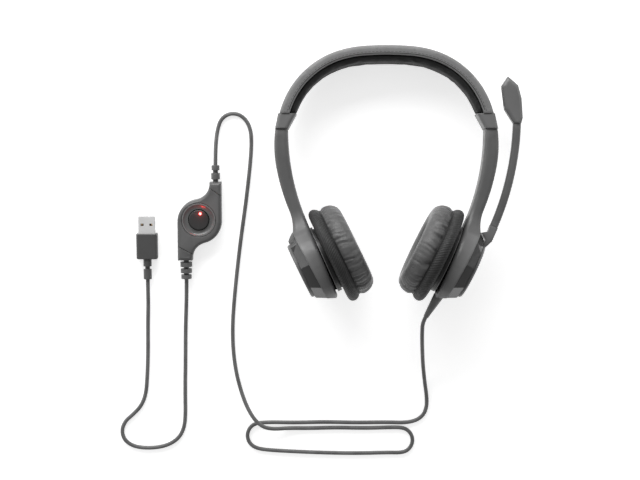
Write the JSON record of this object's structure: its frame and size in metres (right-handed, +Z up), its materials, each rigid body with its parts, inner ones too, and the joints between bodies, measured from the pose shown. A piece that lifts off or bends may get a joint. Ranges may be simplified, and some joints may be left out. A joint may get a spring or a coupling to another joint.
{
  "type": "office headset",
  "caption": "Over-the-head stereo headset with padded band, tilting ear cups, swinging mic boom, in-line remote and USB plug.",
  "frame": {"origin": "centre of the headset's footprint on the table, at table height, without its cord, remote and plug", "axes": "+X towards the wearer's left, +Y towards the top of the headband, +Z up from the table, out of the headset's front"},
  "size_m": [0.2827, 0.2943, 0.0679],
  "materials": {
    "band_shell": "fine matte texture",
    "band_pad": "soft leatherette, satin",
    "spring_steel": "satin spring steel",
    "arm_plastic": "fine matte texture",
    "gloss_cover": "polished facets",
    "ear_leatherette": "soft leatherette, satin",
    "inner_plastic": "plain matte",
    "screw_steel": "zinc plated",
    "driver_metal": "plated",
    "diaphragm_film": "thin clear film",
    "scrim_cloth": "woven acoustic cloth",
    "mic_mesh": "black perforated metal",
    "cord_rubber": "satin soft jacket",
    "remote_plastic": "fine matte texture",
    "ring_plastic": "satin",
    "button_plastic": "soft gloss",
    "red_light": "lit red lens",
    "board": "green solder mask",
    "plug_mould": "satin moulding",
    "plug_shell": "bright nickel plating",
    "plug_insert": "white plastic",
    "contact_gold": "gold plating"
  },
  "bodies": {
    "headband": {"headband_shell": "band_shell", "headband_pad": "band_pad", "headband_spring": "spring_steel", "left_end_cap": "arm_plastic", "right_end_cap": "arm_plastic", "left_slider_tongue": "spring_steel", "right_slider_tongue": "spring_steel", "tongue_pins": "screw_steel"},
    "left_arm": {"left_arm_housing": "arm_plastic", "left_cup_cover": "gloss_cover", "left_detent_spring": "spring_steel", "left_housing_screws": "screw_steel", "cable_boot": "cord_rubber", "upper_cord": "cord_rubber", "remote_upper_boot": "remote_plastic", "remote_back": "remote_plastic", "remote_front": "remote_plastic", "remote_board": "board", "remote_screws": "screw_steel", "remote_lower_boot": "remote_plastic", "lower_cord": "cord_rubber", "usb_overmould": "plug_mould", "usb_shell": "plug_shell", "usb_insert": "plug_insert", "usb_contacts": "contact_gold"},
    "right_arm": {"right_arm_housing": "arm_plastic", "right_cup_cover": "gloss_cover", "right_detent_spring": "spring_steel", "right_housing_screws": "screw_steel", "right_outer_disc": "arm_plastic"},
    "left_swivel": {"left_swivel_bushing": "inner_plastic"},
    "right_swivel": {"right_swivel_bushing": "inner_plastic"},
    "left_speaker": {"left_speaker_back_plate": "inner_plastic", "left_speaker_chamber": "inner_plastic", "left_speaker_screws": "screw_steel", "left_baffle": "inner_plastic", "left_driver_frame": "driver_metal", "left_driver_magnet": "driver_metal", "left_driver_diaphragm": "diaphragm_film", "left_scrim": "scrim_cloth", "left_ear_cushion": "ear_leatherette"},
    "right_speaker": {"right_speaker_back_plate": "inner_plastic", "right_speaker_chamber": "inner_plastic", "right_speaker_screws": "screw_steel", "right_baffle": "inner_plastic", "right_driver_frame": "driver_metal", "right_driver_magnet": "driver_metal", "right_driver_diaphragm": "diaphragm_film", "right_scrim": "scrim_cloth", "right_ear_cushion": "ear_leatherette"},
    "mic_boom": {"boom_hub": "arm_plastic", "hub_washer_and_screw": "screw_steel", "boom_arm": "arm_plastic", "mic_shell": "arm_plastic", "mic_grille": "mic_mesh", "mic_foam": "scrim_cloth", "mic_capsule": "driver_metal"},
    "volume_rocker": {"volume_ring": "ring_plastic"},
    "mute_button": {"mute_button": "button_plastic", "led_lens": "red_light"}
  },
  "joints": [
    {"name": "left_arm_slide", "type": "slide", "parent": "headband", "child": "left_arm", "axis": [-0.0948, -0.9849, 0.1447], "range_m": [0, 0.02]},
    {"name": "right_arm_slide", "type": "slide", "parent": "headband", "child": "right_arm", "axis": [0.0948, -0.9849, 0.1447], "range_m": [0, 0.02]},
    {"name": "left_cup_tilt", "type": "hinge", "parent": "left_arm", "child": "left_swivel", "pos_m": [0.03909, -0.05502, 0.03481], "axis": [0, 0.1454, 0.9894], "range_deg": [-2.5, 7]},
    {"name": "left_cup_yaw", "type": "hinge", "parent": "left_swivel", "child": "left_speaker", "pos_m": [0.03909, -0.05502, 0.03481], "axis": [0.4384, 0.8892, -0.1307], "range_deg": [-4, 4]},
    {"name": "right_cup_tilt", "type": "hinge", "parent": "right_arm", "child": "right_swivel", "pos_m": [-0.05589, -0.05502, 0.03481], "axis": [0, -0.1454, -0.9894], "range_deg": [-2.5, 7]},
    {"name": "right_cup_yaw", "type": "hinge", "parent": "right_swivel", "child": "right_speaker", "pos_m": [-0.05589, -0.05502, 0.03481], "axis": [-0.4384, 0.8892, -0.1307], "range_deg": [-4, 4]},
    {"name": "boom_swing", "type": "hinge", "parent": "left_arm", "child": "mic_boom", "pos_m": [0.05078, -0.06066, 0.03564], "axis": [0.8988, -0.4337, 0.0637], "range_deg": [0, 130]},
    {"name": "volume_rock", "type": "hinge", "parent": "left_arm", "child": "volume_rocker", "pos_m": [-0.1387, -0.0284, 0.0073], "axis": [1, 0, 0], "range_deg": [-2.5, 2.5], "stiffness_Nm_per_rad": 0.3},
    {"name": "mute_press", "type": "slide", "parent": "left_arm", "child": "mute_button", "axis": [0, 0, -1], "range_m": [0, 0.0005], "stiffness_N_per_m": 800, "springref_m": -0.0003}
  ]
}
